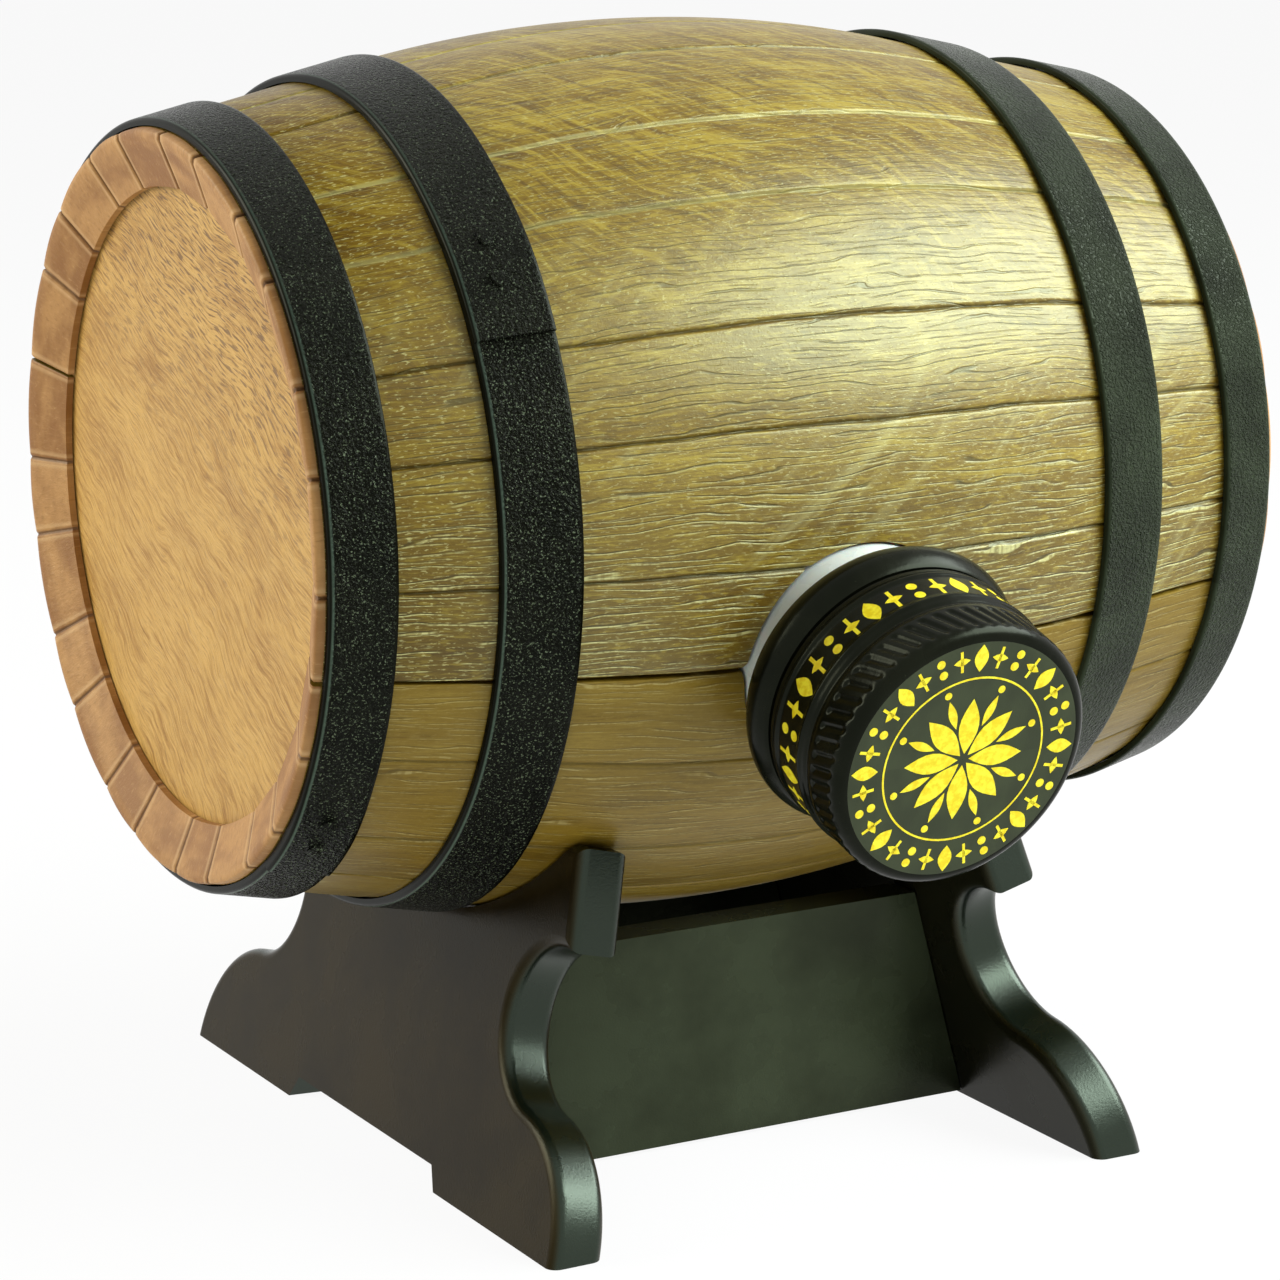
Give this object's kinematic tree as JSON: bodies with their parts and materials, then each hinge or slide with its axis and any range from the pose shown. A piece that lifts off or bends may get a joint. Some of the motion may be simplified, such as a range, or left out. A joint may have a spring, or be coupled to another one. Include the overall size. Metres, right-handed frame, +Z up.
{
  "type": "miniature cask bottle on a stand",
  "caption": "Small cask-shaped drinks bottle with oak-look staves and black hoops, a side neck with a screw cap, lying in a black splayed stand.",
  "frame": {"origin": "on the table plane, under the middle of the cask and midway between the stand's feet", "axes": "+X along the cask's axis towards the head at its right when the cap faces you, -Y towards the cap, +Z up"},
  "size_m": [0.072, 0.075, 0.0769],
  "materials": {
    "oak_staves": "moulded oak grain, satin",
    "oak_head": "moulded oak grain, satin",
    "black_hoop": "fine leathery grain, satin",
    "white_plastic": "smooth, semi gloss",
    "black_cap": "black lacquer, yellow print, semi gloss",
    "liner_foam": "foam sheet",
    "black_stand": "satin black"
  },
  "bodies": {
    "stand": {"stand_left_frame": "black_stand", "stand_right_frame": "black_stand", "stand_front_panel": "black_stand", "stand_rear_panel": "black_stand"},
    "cask": {"upper_shell": "oak_staves", "lower_shell": "oak_staves", "left_head": "oak_head", "right_head": "oak_head", "left_end_hoop": "black_hoop", "left_quarter_hoop": "black_hoop", "right_quarter_hoop": "black_hoop", "right_end_hoop": "black_hoop", "bottle": "white_plastic", "tamper_band": "black_cap"},
    "seal": {"cap_liner": "liner_foam"},
    "cap": {"cap_shell": "black_cap"}
  },
  "joints": [
    {"name": "cask_lift", "type": "slide", "parent": "stand", "child": "cask", "axis": [0, 0, 1], "range_m": [0, 0.04]},
    {"name": "cap_travel", "type": "slide", "parent": "cask", "child": "seal", "axis": [0, -0.9563, -0.2924], "range_m": [0, 0.0048]},
    {"name": "cap_turn", "type": "hinge", "parent": "seal", "child": "cap", "pos_m": [0, 0, 0.0462], "axis": [0, -0.9563, -0.2924], "range_deg": [0, 540]}
  ],
  "couplings": [
    {"joint": "cap_travel", "follows": "cap_turn", "m_per_rad": 0.00050532}
  ]
}
